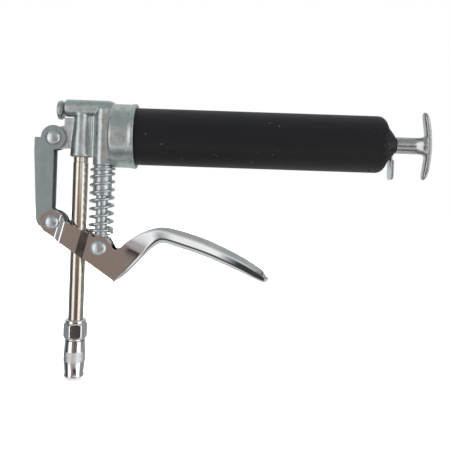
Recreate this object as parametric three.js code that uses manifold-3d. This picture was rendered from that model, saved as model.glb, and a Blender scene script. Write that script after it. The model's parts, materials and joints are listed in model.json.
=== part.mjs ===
// Lever grease gun: a cast head carries a grease barrel, an outlet pipe with a coupler, and a squeeze
// lever on a toggle link that drives a plunger. Millimetres. +X along the barrel to the T-handle, +Z up,
// +Y away from the near side. Everything is drawn from where the barrel axis crosses the outlet pipe axis.
import * as THREE from "three";
import { mergeVertices } from "three/addons/utils/BufferGeometryUtils.js";
import Module from "manifold-3d";

const wasm = await Module();
wasm.setup();

const degrees = THREE.MathUtils.degToRad;

// ---------- driving dimensions ----------
const GAP = 0.3;                                  // clearance between pieces that touch
const ROUND = 24;                                 // sides of a large round piece
const SMALL = 14;                                 // sides of a small round piece
const OVER = 1;                                   // how far a cutting shape runs past what it cuts

const BARREL = { r: 19.05, wall: 1.2, start: 25.6, end: 202.6, shoulder: 4.8 };
const DIMPLE = { x: 191.8, r: 1.5, depth: 0.75, angles: [-22, 68, 158, 248] };
const COLLAR = { r: 21.2, start: 20.5, end: 37.3, rim: 0.45, rimLength: 3, floor: 4.4 };
const TOP_BOSS = { r: 5.85, z: 17.6, start: -12.2, end: 23, chamfer: 1.7, nose: 6 };
const VALVE = { mouth: 3.9, mouthEnd: -6.6, bore: 3.3, seat: 6.4, throat: 1.6, ball: 2.3, ballX: 4.4 };
const OUTLET_BOSS = { top: 12.5, bottom: -15.2, rTop: 5.2, rBottom: 7.4, edge: 1.3, socket: 8.5 };
const PUMP = { x: 15, r: 6.9, shoulder: -20.1, cylinderR: 6.2, bottom: -40.6, bore: 4.3, chamberTop: -4 };
const LUG = { half: 3, step: 5.6, top: 10.8, bottom: -9, left: -11.3, r: 7.3 };
const WEB = { half: 2.4, rib: [7.6, 8.6], ribHalf: 3.1, ribTop: 13.6 };
const NECK = { half: 6.5, gusset: 4.5, bottom: -16, top: 14 };
const PLUG = { r: 6.4, start: -16, lip: -13.3, ring: 5.5, end: -12.5, drop: 1.5 };
const PLUG_SHANK = { r: 3.6, end: -7.6, recess: 2 };
const PIVOT_HEAD = { x: -17.8, z: -2.7 };
const PIVOT_LINK = { x: -16.5, z: -58.9 };
const PIVOT_PLUNGER = { x: 15, z: -75 };
const PIN_R = 3;                                  // shank of each rivet
const DOME = { tall: 2, upper: 5, lower: 4.8, plunger: 5.1 };
const OPEN_PIVOT_PLAY = 1.5;                      // extra radius of the link's lower holes
const LINK = { half: 5, sheet: 1.6, earTop: 8.2, earBottom: 8, edge: -17.2 };
const LINK_BACK = { top: -30, low: -27.5, taper: -12 };
const LEVER = { half: 6.9, sheet: 1.6, bulge: 8.6, earR: 7.9, eyeR: 8, lean: degrees(13.3) };
const PIPE = { r: 5, bore: 3, top: -15.2, bottom: -123.9, relief: 3.2, engaged: 7 };
const NUT = { top: -123.9, bottom: -136.2, flat: 14, ring: 6.9, foot: 7.2, turn: degrees(13.6) };
const SLEEVE = { r: 7.1, bottom: -162, edge: 2.2, bore: 5.4, mouth: 3.6, lip: 2.6 };
const KNURL = { top: -144.6, bottom: -151.5, proud: 0.06 };
const JAW = { bottom: -156.9, top: -153.3, inner: 2.9, r: 5, gap: 0.3 };
const SEAL = { r: 3.4, bore: 1.6, bottom: -152.7, top: -150.1 };
const COUPLER_SPRING = { r: 3.6, wire: 0.45, from: -149.7, to: -141.7, turns: 4.5, steps: 8 };
const COUPLER_BALL = { r: 2, z: -134.2, way: 2.3 };
const ROD_R = 3;                                  // follower rod
const FOLLOWER = { x: 31, hole: 3.2, lip: 0.15, skirt: 6, front: 12, rear: 13.5 };
const FOLLOWER_SPRING = { r: 12.4, wire: 0.9, end: 193.1, turns: 10 };
const CAP = { start: 203.1, r: 14.25, end: 209.2, shoulder: 7.4, nose: 6.6, bore: 5.1 };
const BUSHING = { r: 5.4, neck: 4.5, start: 208.6, end: 210.1 };
const LATCH = { x: 207.3, thick: 0.8, half: 4, top: 6.2, fold: 0.95, bottom: -23.3, tab: -10, corner: 3 };
const LATCH_SPRING = { r: 4.2, wire: 0.4, from: 200, to: 205.6, turns: 4, axis: "x", steps: 8 };
const SHANK = { start: 210.4, r: 5.5, flare: 5.7, end: 230.4, seat: 12 };
const BAR = { half: 22.8, x: 235, thick: 3.8, width: 6.6, sweep: 2.9 };
const PLUNGER = { r: 4, top: -21, eyeR: 5.6, eyeHalf: 3.4 };
const SPRING = { r: 7.45, wire: 1, top: -20.4, bottom: -66, turns: 9.4 };
const SEAT = { r: 6.6, bottom: -66.7, top: -66.1 };

// Stations along the handle: a point under its floor, the rim above it, the half width there, how far the
// wall leans out in degrees, and the radius of the fold between wall and floor.
const HANDLE = [
  { foot: [25.6, -97.4], rim: [25.7, -76.2], half: 6.9, lean: 0, fold: 1.2 },
  { foot: [33.8, -91.6], rim: [28.8, -74.8], half: 6.9, lean: 0, fold: 3 },
  { foot: [43.9, -80.8], rim: [33.8, -70.4], half: 7.3, lean: 11, fold: 3.5 },
  { foot: [49.1, -75.4], rim: [40.3, -66.4], half: 8, lean: 17, fold: 4.8 },
  { foot: [54, -71.7], rim: [48.9, -62.8], half: 8.6, lean: 20, fold: 5.4 },
  { foot: [58.8, -70.9], rim: [57.5, -62.1], half: 9.4, lean: 20, fold: 6 },
  { foot: [69, -73.5], rim: [71.5, -65.1], half: 11, lean: 20, fold: 6.4 },
  { foot: [82.3, -77.3], rim: [85.2, -69.4], half: 12.4, lean: 20, fold: 6.4 },
  { foot: [95.5, -82], rim: [98.4, -75], half: 13.6, lean: 23, fold: 6.2 },
  { foot: [108.7, -87.3], rim: [111, -81.2], half: 14.4, lean: 28, fold: 5 },
  { foot: [119.2, -91.7], rim: [121, -86.5], half: 14.6, lean: 33, fold: 3.6 },
  { foot: [126.3, -94.4], rim: [127.2, -90.6], half: 14.2, lean: 38, fold: 2.6 },
];
const HANDLE_TWIST = 0.7;                         // the far rim stands higher than the mean by this
const HANDLE_TIP = 5;                             // how far the tip's corners are rounded back

// ---------- materials ----------
const paint = (color, roughness, metalness) =>
  new THREE.MeshStandardMaterial({ color, roughness, metalness });
const ZINC = paint(0xa9b2b2, 0.38, 0.9);
const PLATE = paint(0x8f9999, 0.5, 0.85);
const CHROME = paint(0xb9b9ba, 0.12, 1);
const NICKEL = paint(0xa59c8c, 0.22, 1);
const BLACK = paint(0x1f1e20, 0.55, 0.1);
const STEEL = paint(0xb4b8ba, 0.28, 1);
const ALLOY = paint(0x9a9a9a, 0.3, 0.9);
const RUBBER = paint(0x161616, 0.8, 0);

// ---------- solid helpers ----------
function closed(geometry) {
  const bare = geometry.clone();
  bare.deleteAttribute("normal");
  bare.deleteAttribute("uv");
  const merged = mergeVertices(bare);
  const at = merged.getAttribute("position");
  const corners = [];
  let volume = 0;
  const [a, b, c] = [new THREE.Vector3(), new THREE.Vector3(), new THREE.Vector3()];
  for (let i = 0; i < merged.index.count; i += 3) {
    const [p, q, r] = [0, 1, 2].map((k) => merged.index.getX(i + k));
    if (p === q || q === r || r === p) continue;
    corners.push([p, q, r]);
    b.fromBufferAttribute(at, q).cross(c.fromBufferAttribute(at, r));
    volume += a.fromBufferAttribute(at, p).dot(b);
  }
  const ordered = volume > 0 ? corners : corners.map(([p, q, r]) => [p, r, q]);
  merged.setIndex(ordered.flat());
  return merged;
}

function toManifold(geometry) {
  const body = closed(geometry);
  return new wasm.Manifold(new wasm.Mesh({
    numProp: 3,
    vertProperties: new Float32Array(body.getAttribute("position").array),
    triVerts: new Uint32Array(body.index.array),
  }));
}

function fromManifold(body) {
  const mesh = body.getMesh();
  const geometry = new THREE.BufferGeometry();
  geometry.setAttribute("position", new THREE.BufferAttribute(new Float32Array(mesh.vertProperties), 3));
  geometry.setIndex(new THREE.BufferAttribute(new Uint32Array(mesh.triVerts), 1));
  return geometry;
}

const joined = (...shapes) => fromManifold(shapes.map(toManifold).reduce((all, next) => all.add(next)));
const cut = (base, ...tools) =>
  fromManifold(tools.map(toManifold).reduce((rest, tool) => rest.subtract(tool), toManifold(base)));
const common = (base, tool) => fromManifold(toManifold(base).intersect(toManifold(tool)));

// A solid of revolution from [radius, height] points, which close on the axis or on themselves.
function turned(profile, axis, sides = ROUND) {
  const geometry = new THREE.LatheGeometry(profile.map(([r, h]) => new THREE.Vector2(r, h)), sides);
  if (axis === "x") geometry.rotateZ(-Math.PI / 2);
  if (axis === "z") geometry.rotateX(Math.PI / 2);
  return geometry;
}

const rodAlong = (axis, r, from, to, sides = SMALL) =>
  turned([[0, from], [r, from], [r, to], [0, to]], axis, sides);
const tubeAlong = (axis, r, bore, from, to, sides = SMALL) =>
  turned([[bore, from], [r, from], [r, to], [bore, to], [bore, from]], axis, sides);

// A flat plate: an outline in X and Z, standing between two Y values.
function plate(outline, yLow, yHigh, arcs = 6) {
  const options = { depth: yHigh - yLow, bevelEnabled: false, curveSegments: arcs };
  return new THREE.ExtrudeGeometry(outline, options).rotateX(Math.PI / 2).translate(0, yHigh, 0);
}

function box(x, y, z) {
  const geometry = new THREE.BoxGeometry(x[1] - x[0], y[1] - y[0], z[1] - z[0]);
  return geometry.translate((x[0] + x[1]) / 2, (y[0] + y[1]) / 2, (z[0] + z[1]) / 2);
}

const outlineOf = (points) => new THREE.Shape(points.map(([x, z]) => new THREE.Vector2(x, z)));

// A quarter round in a lathe profile: centre, radius and the two angles it runs between.
function arc(r, h, size, from, to, steps = 3) {
  return Array.from({ length: steps + 1 }, (_, i) => {
    const angle = degrees(from + ((to - from) * i) / steps);
    return [r + size * Math.cos(angle), h + size * Math.sin(angle)];
  });
}

// Skins a row of equal-length rings of points. Each end is closed with a fan, or, where a ring runs out
// along one skin and back along the other, with a strip between the two.
function lofted(rings, sheet = false) {
  const size = rings[0].length;
  const points = rings.flat();
  const faces = [];
  for (let i = 0; i + 1 < rings.length; i += 1) {
    for (let j = 0; j < size; j += 1) {
      const [a, b] = [i * size + j, i * size + ((j + 1) % size)];
      faces.push(a, b, a + size, b, b + size, a + size);
    }
  }
  const last = (rings.length - 1) * size;
  const close = (a, b, c) => faces.push(a, c, b, last + a, last + b, last + c);
  if (sheet) {
    for (let j = 0; j + 1 < size / 2; j += 1) {
      close(j, j + 1, size - 1 - j);
      close(j + 1, size - 2 - j, size - 1 - j);
    }
  } else {
    for (let j = 1; j + 1 < size; j += 1) close(0, j, j + 1);
  }
  const geometry = new THREE.BufferGeometry().setFromPoints(points);
  geometry.setIndex(faces);
  return geometry;
}

const group = new THREE.Group();
function add(name, geometry, material) {
  const piece = new THREE.Mesh(closed(geometry), material);
  piece.name = name;
  group.add(piece);
}

// ---------- head ----------
function headCasting() {
  const [c, t, o, p] = [COLLAR, TOP_BOSS, OUTLET_BOSS, PUMP];
  const rimStart = c.end - c.rimLength;
  const collar = turned([
    [0, c.start], [c.r - 2, c.start], ...arc(c.r - 2, c.start + 2, 2, -90, 0),
    [c.r, rimStart], [c.r + c.rim, rimStart + 1], [c.r + c.rim, c.end - 0.5], [c.r, c.end], [0, c.end],
  ], "x");
  const topBoss = turned([
    [0, t.start], [t.r - t.chamfer, t.start], [t.r, t.start + t.chamfer], [t.r, t.end - t.nose],
    ...arc(t.r - t.nose, t.end - t.nose, t.nose, 30, 70, 3).filter(([r]) => r > 0), [0, t.end],
  ], "x", ROUND).translate(0, 0, t.z);
  const outletBoss = turned([
    [0, o.bottom], [o.rBottom - o.edge, o.bottom],
    ...arc(o.rBottom - o.edge, o.bottom + o.edge, o.edge, -90, 0), [o.rTop, o.top], [0, t.z],
  ], "z", ROUND);
  const pumpBoss = turned([
    [0, p.bottom], [p.cylinderR - 0.6, p.bottom], [p.cylinderR, p.bottom + 0.6], [p.cylinderR, p.shoulder],
    [p.r - 0.5, p.shoulder], [p.r, p.shoulder + 0.5], [p.r, o.top], [0, t.z],
  ], "z", ROUND).translate(p.x, 0, 0);
  const web = box([0, p.x], [-WEB.half, WEB.half], [o.bottom + GAP, t.z]);
  const rib = box(WEB.rib, [-WEB.ribHalf, WEB.ribHalf], [o.bottom + 0.5, WEB.ribTop]);
  const under = c.start + 7;
  const gussetSide = outlineOf([[p.x, p.shoulder + 0.2], [under, 1.2 - c.r], [under, 0], [p.x, 0]]);
  const gusset = plate(gussetSide, -NECK.gusset, NECK.gusset);
  const neck = box([p.x, c.start + 2], [-NECK.half, NECK.half], [NECK.bottom, NECK.top]);
  const outside = joined(collar, topBoss, outletBoss, pumpBoss, web, rib, gusset, neck, headLug());
  return cut(outside, ...headBores());
}

// The lug that the toggle link hangs on.
function headLug() {
  const l = LUG;
  const side = new THREE.Shape();
  side.moveTo(0, l.top);
  side.lineTo(l.left, l.top);
  side.lineTo(l.left, l.step);
  side.lineTo(PIVOT_HEAD.x + 2, l.step - 1.1);
  side.absarc(PIVOT_HEAD.x, PIVOT_HEAD.z, l.r, 1.2, -1.2 - Math.PI / 2 + 0.35, false);
  side.lineTo(PIVOT_HEAD.x + 3, l.bottom);
  side.lineTo(0, l.bottom);
  return plate(side, -l.half, l.half);
}

function headBores() {
  const [c, t, o, p, v] = [COLLAR, TOP_BOSS, OUTLET_BOSS, PUMP, VALVE];
  const floor = c.start + c.floor;
  return [
    rodAlong("x", BARREL.r + GAP, floor, c.end + OVER, ROUND),
    rodAlong("z", p.bore, p.bottom - OVER, p.chamberTop).translate(p.x, 0, 0),
    rodAlong("z", v.throat, p.chamberTop - OVER, t.z).translate(p.x, 0, 0),
    rodAlong("x", 2.2, p.x, floor + OVER).translate(0, 0, p.chamberTop - 5),
    turned([
      [0, t.start - OVER], [v.mouth, t.start - OVER], [v.mouth, v.mouthEnd], [v.bore, v.mouthEnd + 1],
      [v.bore, v.seat], [v.throat, v.seat + 1.7], [v.throat, p.x + OVER], [0, p.x + OVER],
    ], "x").translate(0, 0, t.z),
    rodAlong("z", 2.4, o.bottom + o.socket - 0.5, t.z),
    rodAlong("z", PIPE.r + GAP, o.bottom - OVER, o.bottom + o.socket, ROUND),
    rodAlong("y", PIN_R + 0.05, -LUG.half - OVER, LUG.half + OVER).translate(PIVOT_HEAD.x, 0, PIVOT_HEAD.z),
  ];
}

// The plug's knob sits a little below the axis of its shank.
function fillerPlug() {
  const [g, k] = [PLUG, PLUG_SHANK];
  const knob = turned([
    [0, g.start], [g.r - 1, g.start], ...arc(g.r - 1, g.start + 1, 1, -90, 0), [g.r, g.lip - 0.4],
    [g.r - 0.4, g.lip], [g.ring - 0.5, g.lip], [g.ring - 0.5, g.lip + 0.3], [g.ring, g.lip + 0.3],
    [g.ring, g.end], [0, g.end],
  ], "x", ROUND).translate(0, 0, -g.drop);
  const shank = turned([
    [0, g.lip], [k.r, g.lip], [k.r, k.end], [k.recess, k.end + 0.6], [k.recess, k.end - 2], [0, k.end - 2],
  ], "x", ROUND);
  return joined(knob, shank).translate(0, 0, TOP_BOSS.z);
}

// A round wire wound into a coil whose end turns lie flat.
function coil({ r, wire, from, to, turns, axis = "z", sides = 2, steps = 12, flat = 1 }) {
  const turnsFlat = flat * 2;
  const pitch = (Math.abs(to - from) - 2 * wire - turnsFlat * 2.06 * wire) / (turns - turnsFlat);
  const way = Math.sign(to - from);
  class Wire extends THREE.Curve {
    getPoint(t, target = new THREE.Vector3()) {
      const turn = t * turns;
      const low = Math.min(turn, flat) * 2.06 * wire;
      const mid = Math.max(0, Math.min(turn, turns - flat) - flat) * pitch;
      const high = Math.max(0, turn - turns + flat) * 2.06 * wire;
      const angle = turn * Math.PI * 2;
      const h = from + way * (wire + low + mid + high);
      return target.set(r * Math.cos(angle), way * r * Math.sin(angle), h);
    }
  }
  const section = new THREE.Shape();
  section.absarc(0, 0, wire, 0, Math.PI * 2, false);
  const geometry = new THREE.ExtrudeGeometry(section, {
    extrudePath: new Wire(), steps: Math.round(turns * steps), curveSegments: sides,
  });
  if (axis === "x") geometry.rotateY(Math.PI / 2);
  return geometry;
}

function addHead() {
  add("head_casting", headCasting(), ZINC);
  add("filler_plug", fillerPlug(), ZINC);
  const ball = new THREE.SphereGeometry(VALVE.ball, 12, 8);
  add("check_ball", ball.translate(VALVE.ballX, 0, TOP_BOSS.z), STEEL);
  add("check_spring", coil({ r: 2.3, wire: 0.35, from: -6.6, to: 1.9, turns: 5, axis: "x", steps: 8 })
    .translate(0, 0, TOP_BOSS.z), STEEL);
  add("link_rivet_upper", rivet(PIVOT_HEAD, LINK.half, DOME.upper), STEEL);
}

// A rivet along Y with a domed head outside each of two plates.
function rivet(at, half, headR) {
  const edge = half + GAP;
  const rise = arc(0, 0, 1, 0, 90, 4).map(([c, s]) => [c * headR, edge + s * DOME.tall]);
  const profile = [[PIN_R, 0], [PIN_R, edge], ...rise];
  const lower = profile.map(([r, h]) => [Math.max(r, 0), -h]).reverse();
  return turned([...lower, ...profile.slice(1)], "y", SMALL).translate(at.x, 0, at.z);
}

// ---------- outlet pipe and coupler ----------
function outletPipe() {
  const p = PIPE;
  const [low, high] = [p.bottom - p.engaged, p.top + 8];
  const [relief, reliefR] = [p.top - p.relief, p.r - 0.2];
  return turned([
    [p.bore, low], [p.r, low], [p.r, relief], [reliefR, relief + GAP], [reliefR, high], [p.bore, high],
    [p.bore, low],
  ], "z");
}

function couplerSleeve() {
  const s = SLEEVE;
  const top = NUT.bottom - 1 - GAP;
  const knurlR = s.r + KNURL.proud;
  return turned([
    [s.bore, top], [s.r, top], [s.r, KNURL.top], [knurlR, KNURL.top - 0.2], [knurlR, KNURL.bottom + 0.2],
    [s.r, KNURL.bottom], ...arc(s.r - s.edge, s.bottom + s.edge, s.edge, 0, -90), [s.mouth, s.bottom],
    [s.mouth, s.bottom + s.lip], [s.bore, s.bottom + s.lip + 2], [s.bore, top],
  ], "z");
}

// The nut narrows to a round ring at its top, and into a threaded spigot that the sleeve screws onto.
function couplerNut() {
  const corner = NUT.flat / Math.sqrt(3);
  const prism = rodAlong("z", corner, NUT.bottom, NUT.top, 6).rotateZ(Math.PI / 6 + NUT.turn);
  const shaped = turned([
    [0, NUT.bottom], [NUT.foot, NUT.bottom], [corner + 0.1, NUT.bottom + 1.7], [corner + 0.1, NUT.top - 3.5],
    [NUT.ring, NUT.top - 2], [NUT.ring, NUT.top - 0.5], [NUT.ring - 0.5, NUT.top], [0, NUT.top],
  ], "z");
  const low = NUT.bottom - 5;
  const spigot = rodAlong("z", SLEEVE.bore - GAP, low, NUT.bottom + OVER, ROUND);
  const washer = rodAlong("z", 6.4, NUT.bottom - 1, NUT.bottom + OVER, ROUND);
  const pipeSeat = rodAlong("z", PIPE.r + GAP, NUT.top - PIPE.engaged - OVER, NUT.top + OVER, ROUND);
  const way = rodAlong("z", COUPLER_BALL.way, low - OVER, NUT.top);
  return cut(joined(common(prism, shaped), spigot, washer), pipeSeat, way);
}

// One quarter of the split ring that grips the fitting.
function couplerJaw(i) {
  const j = JAW;
  const ring = turned([
    [j.inner, j.bottom], [j.r - 0.8, j.bottom], [j.r, j.bottom + 1.2], [j.r, j.top], [j.inner + 0.5, j.top],
    [j.inner + 0.5, j.bottom + 1.6], [j.inner, j.bottom],
  ], "z", SMALL + 8);
  const wedge = outlineOf([[j.gap, j.gap], [9, j.gap], [9, 9], [j.gap, 9]]);
  const sector = new THREE.ExtrudeGeometry(wedge, { depth: 6, bevelEnabled: false });
  return common(ring, sector.translate(0, 0, j.bottom - OVER).rotateZ((i * Math.PI) / 2 + Math.PI / 4));
}

function addOutlet() {
  add("outlet_pipe", outletPipe(), NICKEL);
  add("coupler_nut", couplerNut(), CHROME);
  add("coupler_sleeve", couplerSleeve(), CHROME);
  for (let i = 0; i < 4; i += 1) add(`coupler_jaw_${i + 1}`, couplerJaw(i), STEEL);
  add("coupler_seal", tubeAlong("z", SEAL.r, SEAL.bore, SEAL.bottom, SEAL.top), RUBBER);
  add("coupler_spring", coil(COUPLER_SPRING), STEEL);
  const ball = new THREE.SphereGeometry(COUPLER_BALL.r, 12, 8);
  add("coupler_check_ball", ball.translate(0, 0, COUPLER_BALL.z), STEEL);
}

// ---------- barrel, follower and T-handle ----------
function barrelTube() {
  const b = BARREL;
  const inner = b.r - b.wall;
  const tube = turned([
    [inner, b.start], [b.r, b.start], ...arc(b.r - b.shoulder, b.end - b.shoulder, b.shoulder, 0, 90, 4),
    [CAP.r, b.end], [CAP.r, b.end - b.wall],
    ...arc(b.r - b.shoulder, b.end - b.shoulder, b.shoulder - b.wall, 90, 0, 4), [inner, b.start],
  ], "x", 32);
  const dimples = DIMPLE.angles.map((deg) => {
    const pit = new THREE.SphereGeometry(DIMPLE.r, 7, 5);
    return pit.translate(DIMPLE.x, DIMPLE.depth - DIMPLE.r - b.r, 0).rotateX(degrees(deg));
  });
  return cut(tube, ...dimples);
}

// The end cap is staked inside the tube; its cone comes out through the tube's open end.
function endCap() {
  const inner = BARREL.r - BARREL.wall - GAP;
  const r = CAP.r - GAP;
  const floor = BARREL.end - BARREL.shoulder - GAP;
  const eye = BUSHING.neck + 0.2;
  const cap = turned([
    [CAP.bore, floor - 4], [inner - 1.5, floor - 4], [inner - 1.5, floor - 6], [inner, floor - 6],
    [inner, floor - 1.2], [r, floor + 2.6], [r, CAP.start], [CAP.shoulder, CAP.end - GAP],
    [CAP.nose, CAP.end], [eye, CAP.end], [eye, LATCH.x], [CAP.bore, LATCH.x], [CAP.bore, floor - 4],
  ], "x", 26);
  const side = LATCH.half + 0.4;
  const [front, back] = [LATCH.x - 1.1, LATCH.x + LATCH.thick + 0.4];
  const slot = box([front, back], [-side, side], [LATCH.bottom, LATCH.top + 0.6]);
  return cut(cap, slot);
}

// A strip folded back on itself into a narrow U, with the corners of the fold rounded.
function latchPlate() {
  const l = LATCH;
  const [back, low] = [l.x + 2 * l.fold, l.bottom + l.fold];
  const side = new THREE.Shape();
  side.moveTo(l.x, l.top);
  side.lineTo(l.x, low);
  side.absarc(l.x + l.fold, low, l.fold, Math.PI, Math.PI * 2, false);
  side.lineTo(back, l.tab);
  side.lineTo(back - l.thick, l.tab);
  side.absarc(l.x + l.fold, low, l.fold - l.thick, Math.PI * 2, Math.PI, true);
  side.lineTo(l.x + l.thick, l.top);
  const strip = plate(side, -l.half, l.half);
  const [from, to] = [l.x - OVER, back + OVER];
  const [inset, level] = [l.half - l.corner, l.bottom + l.corner];
  const front = joined(
    box([from, to], [-l.half, l.half], [level, l.top + OVER]),
    box([from, to], [-inset, inset], [l.bottom, level + OVER]),
    ...[-inset, inset].map((y) => rodAlong("x", l.corner, from, to, ROUND).translate(0, y, level)),
  );
  const eye = rodAlong("x", ROD_R + 0.35, from, to);
  return cut(common(strip, front), eye);
}

// A curved bar on a round shank that narrows to the width of the bar where they meet.
function tHandle() {
  const b = BAR;
  const rings = 17;
  const around = 16;
  const bar = lofted(Array.from({ length: rings }, (_, i) => {
    const t = -1 + (2 * i) / (rings - 1);
    const along = Math.sin((t * Math.PI) / 2);
    const fade = Math.sqrt(Math.max(0.02, 1 - Math.abs(along) ** 8));
    const x = b.x - b.thick / 2 - b.sweep * along * along;
    return Array.from({ length: around }, (_, j) => {
      const a = (j / around) * Math.PI * 2;
      const squash = (v) => Math.sign(v) * Math.abs(v) ** 0.62;
      const dx = (b.thick / 2) * squash(Math.cos(a)) * fade;
      return new THREE.Vector3(x + dx, (b.width / 2) * squash(Math.sin(a)) * fade, b.half * along);
    });
  }));
  const s = SHANK;
  const shank = turned([
    [0, s.start], [s.r, s.start], [s.r, s.end - 6], [s.flare, s.end - 1.5], [s.flare + 1.5, s.end],
    [s.flare + 1.5, s.end + 1.6], [0, s.end + 3],
  ], "x", ROUND);
  const [wide, narrow] = [s.r + OVER, b.width / 2];
  const plan = [[s.start - OVER, wide], [s.end - 8, wide], [s.end, narrow], [b.x, narrow]];
  const waist = outlineOf([...plan, ...plan.map(([x, y]) => [x, -y]).reverse()]);
  const flats = new THREE.ExtrudeGeometry(waist, { depth: 2 * b.half, bevelEnabled: false });
  flats.translate(0, 0, -b.half);
  const seat = rodAlong("x", ROD_R + GAP, s.start - OVER, s.start + s.seat);
  return cut(joined(bar, common(shank, flats)), seat);
}

function rodBushing() {
  const b = BUSHING;
  const bore = ROD_R + GAP;
  const step = CAP.end + 0.1;
  return turned([
    [bore, b.start], [b.neck, b.start], [b.neck, step], [b.r, step], [b.r, b.end], [bore, b.end],
    [bore, b.start],
  ], "x", SMALL);
}

function addBarrel() {
  const floor = COLLAR.start + COLLAR.floor;
  add("barrel_tube", barrelTube(), BLACK);
  add("barrel_gasket", tubeAlong("x", BARREL.r - GAP, 14, floor + 0.1, BARREL.start - 0.1), RUBBER);
  add("end_cap", endCap(), BLACK);
  add("rod_bushing", rodBushing(), RUBBER);
  add("latch_spring", coil(LATCH_SPRING), STEEL);
  add("latch_plate", latchPlate(), PLATE);
}

function addFollower() {
  const f = FOLLOWER;
  const inner = BARREL.r - BARREL.wall;
  const back = f.x + 2;
  add("follower_cup", turned([
    [f.hole, f.x], [inner - 3.6, f.x], [inner - 0.4, f.x - 3], [inner - f.lip, f.x + f.skirt],
    [inner - 2, f.x + f.skirt], [inner - 2.6, back], [f.hole, back], [f.hole, f.x],
  ], "x"), RUBBER);
  add("follower_washer_front", tubeAlong("x", f.front, f.hole, f.x - 1.5, f.x - GAP), STEEL);
  add("follower_washer_rear", tubeAlong("x", f.rear, f.hole, back + GAP, f.x + 4), STEEL);
  add("follower_nut", cut(rodAlong("x", 5.2, f.x - 4.3, f.x - 1.8, 6),
    rodAlong("x", ROD_R + 0.2, f.x - 6, f.x)), STEEL);
  add("follower_rod", rodAlong("x", ROD_R, f.x - 4.6, SHANK.start + SHANK.seat - 0.5), STEEL);
  const s = FOLLOWER_SPRING;
  add("follower_spring", coil({
    r: s.r, wire: s.wire, from: f.x + 4 + GAP, to: s.end, turns: s.turns, axis: "x", steps: 10,
  }), STEEL);
  add("t_handle", tHandle(), ALLOY);
}

// ---------- pump plunger and return spring ----------
function pumpPlunger() {
  const p = PLUNGER;
  const shaft = turned([
    [0, PIVOT_PLUNGER.z], [p.r, PIVOT_PLUNGER.z], [p.r, p.top - 0.6], [p.r - 0.6, p.top], [0, p.top],
  ], "z", SMALL);
  const eye = rodAlong("y", p.eyeR, -p.eyeHalf, p.eyeHalf).translate(0, 0, PIVOT_PLUNGER.z);
  const pinHole = rodAlong("y", PIN_R + GAP, -p.eyeR, p.eyeR).translate(0, 0, PIVOT_PLUNGER.z);
  return cut(joined(shaft, eye), pinHole).translate(PUMP.x, 0, 0);
}

function addPlunger() {
  add("pump_plunger", pumpPlunger(), STEEL);
  const seat = tubeAlong("z", SEAT.r, PLUNGER.r + 0.1, SEAT.bottom, SEAT.top);
  add("spring_seat", seat.translate(PUMP.x, 0, 0), STEEL);
  add("return_spring", coil({
    r: SPRING.r, wire: SPRING.wire, from: SPRING.bottom, to: SPRING.top, turns: SPRING.turns,
  }).translate(PUMP.x, 0, 0), STEEL);
}

// ---------- toggle link ----------
function toggleLink() {
  const [k, m] = [LINK, LINK_BACK];
  const [a, b] = [PIVOT_HEAD, PIVOT_LINK];
  const side = new THREE.Shape();
  side.moveTo(m.top, k.edge + 14.4);
  side.lineTo(a.x - k.earTop, a.z + 0.1);
  side.absarc(a.x, a.z, k.earTop, Math.PI, -Math.PI / 2, true);
  side.lineTo(k.edge, a.z - k.earTop);
  side.lineTo(k.edge, b.z + 9);
  side.absarc(b.x, b.z, k.earBottom, Math.PI / 2, -Math.PI * 0.75, true);
  side.absarc(m.low + 8, b.z + 3, 8, -Math.PI * 0.7, -Math.PI, true);
  side.lineTo(m.top, m.taper);
  const outer = plate(side, -k.half, k.half);
  const inside = box([-60, 20], [-k.half + k.sheet, k.half - k.sheet], [-90, 30]);
  const webOutline = outlineOf([
    [m.top - OVER, a.z - 0.2], [m.top + k.sheet, a.z - 0.2], [m.top + k.sheet, m.taper],
    [m.low + k.sheet, b.z + 3],
    [m.low + k.sheet, b.z + 2], [m.top - OVER, b.z + 2],
  ]);
  const hollow = cut(inside, plate(webOutline, -k.half, k.half));
  const upper = rodAlong("y", PIN_R + GAP, -20, 20).translate(a.x, 0, a.z);
  const lower = rodAlong("y", PIN_R + OPEN_PIVOT_PLAY, -20, 20).translate(b.x, 0, b.z);
  return cut(outer, hollow, upper, lower);
}

// ---------- lever ----------
// Side outline of a cheek: straight lower edge, joint with the handle, plunger's eye and link's ear.
function cheekOutline() {
  const [b, c] = [PIVOT_LINK, PIVOT_PLUNGER];
  const [{ foot, rim }] = HANDLE;
  const into = foot[0] + 0.8;
  const side = new THREE.Shape();
  side.moveTo(-9, -73);
  side.lineTo(foot[0], foot[1] + OVER);
  side.lineTo(into, foot[1] + OVER + 0.8);
  side.lineTo(into, rim[1] - 0.4);
  side.lineTo(rim[0], rim[1]);
  side.quadraticCurveTo(23.9, -75.4, 23.1, -73.2);
  side.absarc(c.x, c.z, LEVER.eyeR, degrees(16), degrees(116), false);
  side.lineTo(9.6, -66.5);
  side.lineTo(8.3, -66.3);
  side.lineTo(7.9, -65.2);
  side.lineTo(3.2, -63);
  side.lineTo(-6.4, -58.5);
  side.absarc(b.x, b.z, LEVER.earR, degrees(8), degrees(216), false);
  const throat = [[-21, -65], [-17.6, -67], [-14.6, -69], [-11.4, -71.8]];
  side.splineThru(throat.map((p) => new THREE.Vector2(...p)));
  return side;
}

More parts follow.
